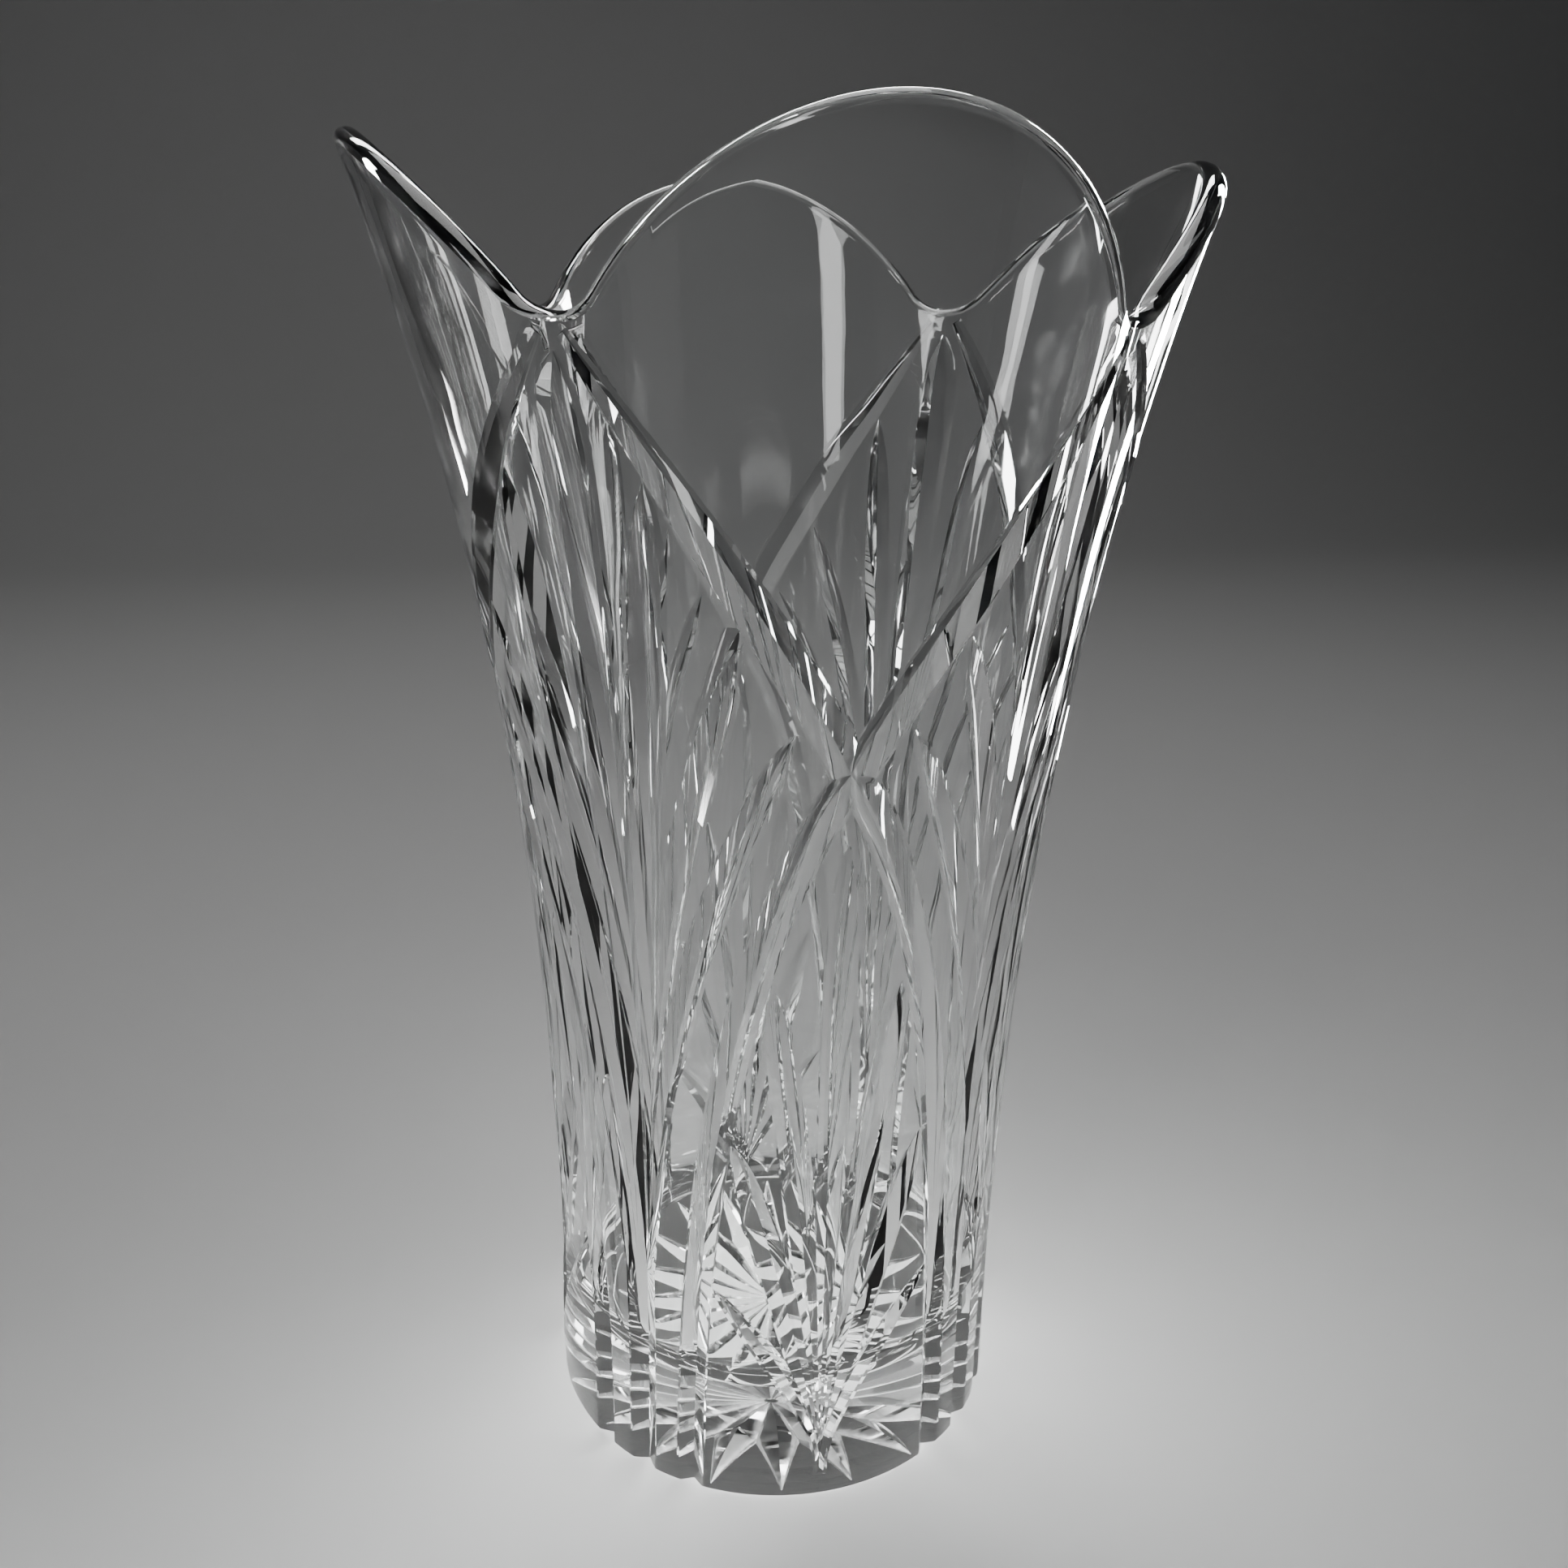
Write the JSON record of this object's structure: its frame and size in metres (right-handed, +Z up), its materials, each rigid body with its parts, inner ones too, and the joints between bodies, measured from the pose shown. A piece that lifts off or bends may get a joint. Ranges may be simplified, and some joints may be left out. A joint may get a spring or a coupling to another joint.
{
  "type": "cut crystal vase",
  "caption": "Tall flared crystal vase with a four-petal rim, crossing cut bands and fans of leaf-shaped cuts, standing on a thick flat foot.",
  "frame": {"origin": "centre of the foot, on the surface the vase stands on", "axes": "+Z up along the vase's axis; the middle of one petal faces -Y and the others face +X, +Y and -X"},
  "size_m": [0.1556, 0.1556, 0.254],
  "materials": {
    "lead_crystal": "clear, colourless and polished, with polished cuts"
  },
  "bodies": {
    "root": {"crystal_vase": "lead_crystal"}
  },
  "joints": []
}
